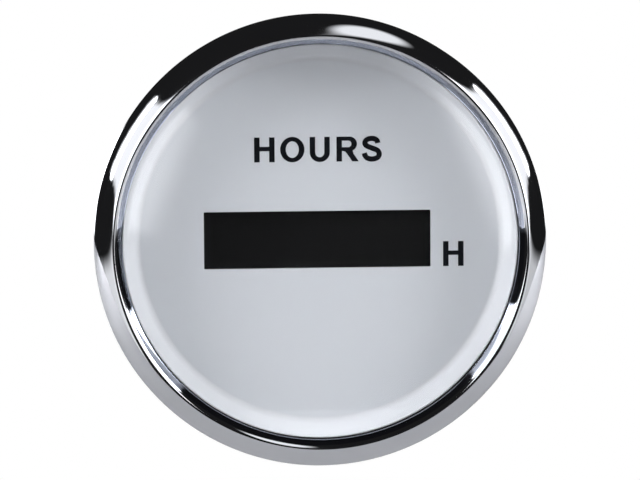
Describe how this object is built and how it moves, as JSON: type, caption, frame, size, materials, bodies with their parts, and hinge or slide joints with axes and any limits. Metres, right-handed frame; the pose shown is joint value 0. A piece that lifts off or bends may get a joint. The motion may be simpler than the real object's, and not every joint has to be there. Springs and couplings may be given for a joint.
{
  "type": "hour meter",
  "caption": "Round panel hour meter with a chromed bezel and a domed lens over a pale dial with a display window, a moulded cup, blade terminals, and a clamp bracket held by thumb nuts.",
  "frame": {"origin": "on the axis of the barrel, in the plane where the panel gasket meets the front of the panel", "axes": "-Y points out of the dial towards the reader, +Y runs back along the barrel and the studs, +Z is the top of the dial, +X is to the reader's right"},
  "size_m": [0.062, 0.0558, 0.062],
  "materials": {
    "chrome": "polished chrome plate",
    "lens_glass": "clear domed glass",
    "black_rubber": "matt moulded rubber",
    "white_plastic": "satin white moulding",
    "dial_paint": "matt pale grey paint with printed letters",
    "clear_acrylic": "clear moulded light guide",
    "display_black": "black display cell, unpowered",
    "display_glass": "grey display glass",
    "contact_rubber": "striped conductive rubber",
    "milk_plastic": "milky diffusing block",
    "lamp_package": "white lamp package with a yellow well",
    "board_green": "green solder mask",
    "zinc_steel": "bright zinc plate",
    "chip_black": "matt moulded epoxy",
    "tin_can": "drawn metal can",
    "resistor_ceramic": "glazed ceramic with tinned ends",
    "capacitor_ceramic": "tan ceramic with tinned ends",
    "black_plastic": "fine textured black moulding",
    "tinned_brass": "tin-plated stamped brass",
    "spring_steel": "plated spring steel",
    "nickel_brass": "nickel-plated turned brass"
  },
  "bodies": {
    "meter": {"bezel": "chrome", "lens": "lens_glass", "lens_gasket": "black_rubber", "dial_ring": "white_plastic", "dial_plate": "dial_paint", "light_guide": "clear_acrylic", "lcd_front_glass": "display_black", "lcd_rear_glass": "display_glass", "display_frame": "white_plastic", "contact_strip_upper": "contact_rubber", "contact_strip_lower": "contact_rubber", "display_glow_block": "milk_plastic", "display_leds": "lamp_package", "dial_leds": "lamp_package", "circuit_board": "board_green", "board_screws": "zinc_steel", "microcontroller": "chip_black", "memory_chip": "chip_black", "quartz_crystal": "tin_can", "voltage_regulator": "chip_black", "smoothing_capacitor": "tin_can", "protection_diode": "chip_black", "surge_suppressor": "chip_black", "resistors": "resistor_ceramic", "filter_capacitors": "capacitor_ceramic", "cup": "black_plastic", "panel_gasket": "black_rubber", "terminal_positive": "tinned_brass", "terminal_negative": "tinned_brass", "terminal_lamp": "tinned_brass", "stud_left": "zinc_steel", "stud_right": "zinc_steel"},
    "clamp": {"clamp_bracket": "zinc_steel", "lock_washers": "spring_steel"},
    "thumb_nut_left": {"thumb_nut_left": "nickel_brass"},
    "thumb_nut_right": {"thumb_nut_right": "nickel_brass"}
  },
  "joints": [
    {"name": "clamp_travel", "type": "slide", "parent": "meter", "child": "clamp", "axis": [0, 1, 0], "range_m": [-0.005, 0.008]},
    {"name": "nut_left_turn", "type": "hinge", "parent": "clamp", "child": "thumb_nut_left", "pos_m": [-0.014, 0.0356, 0], "axis": [0, 1, 0], "range_deg": [-2571.43, 4114.29]},
    {"name": "nut_right_turn", "type": "hinge", "parent": "clamp", "child": "thumb_nut_right", "pos_m": [0.014, 0.0356, 0], "axis": [0, 1, 0], "range_deg": [-2571.43, 4114.29]}
  ],
  "couplings": [
    {"joint": "nut_left_turn", "follows": "clamp_travel", "rad_per_m": 8976},
    {"joint": "nut_right_turn", "follows": "clamp_travel", "rad_per_m": 8976}
  ]
}
